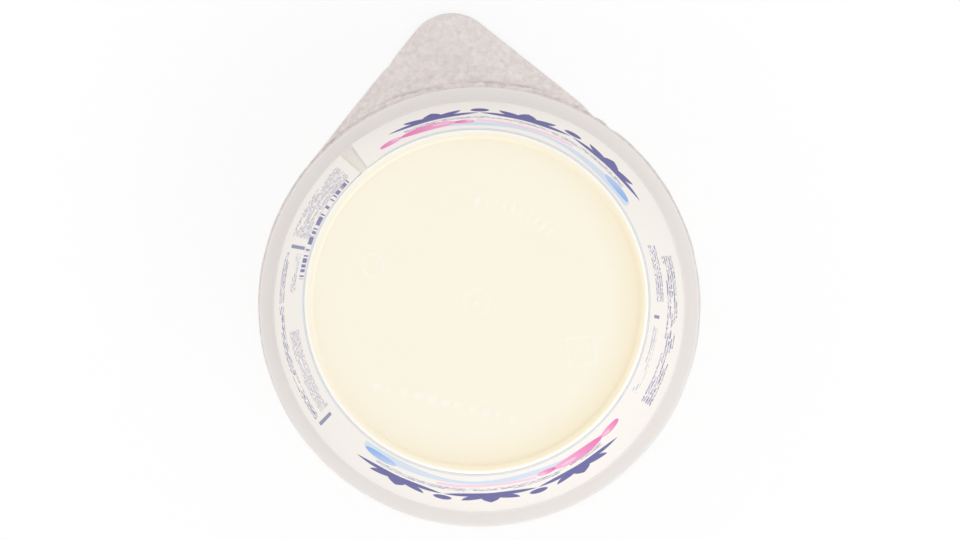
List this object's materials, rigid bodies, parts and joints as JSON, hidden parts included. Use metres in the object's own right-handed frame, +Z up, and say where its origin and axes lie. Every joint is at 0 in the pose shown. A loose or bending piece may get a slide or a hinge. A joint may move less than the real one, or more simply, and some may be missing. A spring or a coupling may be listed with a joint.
{
  "type": "yogurt pot",
  "caption": "Sealed round plastic yogurt pot with a paper wrap label and an embossed foil lid with a tear tab, stored upside down on its lid.",
  "frame": {"origin": "on the pot's axis, at the foil lid's outer face, on which the pot stands upside down", "axes": "+Z up, from the lid to the pot's base; +Y from the axis along the lid's tear tab; turn 180 degrees about X to stand the pot on its base"},
  "size_m": [0.0954, 0.1108, 0.0475],
  "materials": {
    "cup_plastic": "thin translucent polypropylene, milky, tinted cream by the yogurt behind it",
    "label_paper": "smooth coated paper printed with plain shapes",
    "lid_foil": "thin lacquered aluminium foil with a fine pebble embossing"
  },
  "bodies": {
    "root": {"cup": "cup_plastic", "label": "label_paper", "lid": "lid_foil"}
  },
  "joints": []
}
